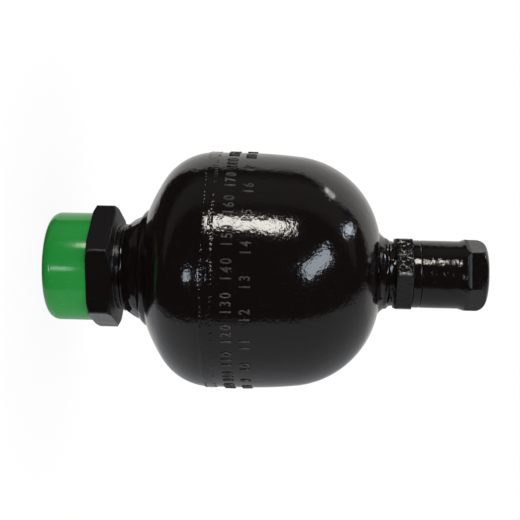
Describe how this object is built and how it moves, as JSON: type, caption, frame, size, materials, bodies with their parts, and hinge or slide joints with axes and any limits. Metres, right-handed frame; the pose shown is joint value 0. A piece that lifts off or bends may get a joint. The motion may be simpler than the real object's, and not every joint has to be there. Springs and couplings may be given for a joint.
{
  "type": "bladder accumulator",
  "caption": "Small welded hydraulic bladder accumulator: domed gloss-black vessel, hexagonal fluid port under a green push-on cap, gas valve under a hex-headed cap.",
  "frame": {"origin": "centre of the flat end of the fluid port's protective cap, on the vessel's axis; the accumulator stands on it with the gas valve up", "axes": "+Z runs along the vessel's axis from the fluid port to the gas valve; -Y faces the side shown in the picture; X completes the right-handed frame"},
  "size_m": [0.1156, 0.1156, 0.2133],
  "materials": {
    "black_paint": "gloss black paint over steel",
    "green_plastic": "satin moulded plastic",
    "rubber": "matte",
    "steel": "turned steel",
    "spring_steel": "drawn wire",
    "brass": "turned brass"
  },
  "bodies": {
    "vessel": {"shell_port_half": "black_paint", "shell_gas_half": "black_paint", "girth_weld": "black_paint", "port_neck": "black_paint", "port_neck_weld": "black_paint", "gas_neck": "black_paint", "gas_neck_weld": "black_paint", "port_body": "black_paint", "port_seal_ring": "rubber", "poppet_guide": "steel", "guide_snap_ring": "spring_steel", "poppet_spring": "spring_steel", "bladder_stem": "steel", "bladder": "rubber", "stem_seal_ring": "rubber", "gas_lock_nut": "black_paint", "stem_spacer_ring": "black_paint", "gas_valve_body": "steel", "gas_valve_seal": "rubber", "valve_core": "brass", "valve_seal_cap": "steel", "valve_cap_washer": "rubber"},
    "poppet": {"poppet": "steel", "poppet_stem_nut": "steel"},
    "port_cap": {"port_cap": "green_plastic"},
    "gas_cap": {"gas_cap": "black_paint"},
    "valve_pin": {"valve_pin": "brass"}
  },
  "joints": [
    {"name": "poppet_slide", "type": "slide", "parent": "vessel", "child": "poppet", "axis": [0, 0, 1], "range_m": [-0.007, 0], "stiffness_N_per_m": 400, "springref_m": 0.012, "deforming": ["poppet_spring"]},
    {"name": "port_cap_pull", "type": "slide", "parent": "vessel", "child": "port_cap", "axis": [0, 0, -1], "range_m": [0, 0.032]},
    {"name": "gas_cap_lift", "type": "slide", "parent": "vessel", "child": "gas_cap", "axis": [0, 0, 1], "range_m": [0, 0.036]},
    {"name": "valve_pin_press", "type": "slide", "parent": "vessel", "child": "valve_pin", "axis": [0, 0, 1], "range_m": [-0.0015, 0], "stiffness_N_per_m": 400, "springref_m": 0.002}
  ]
}
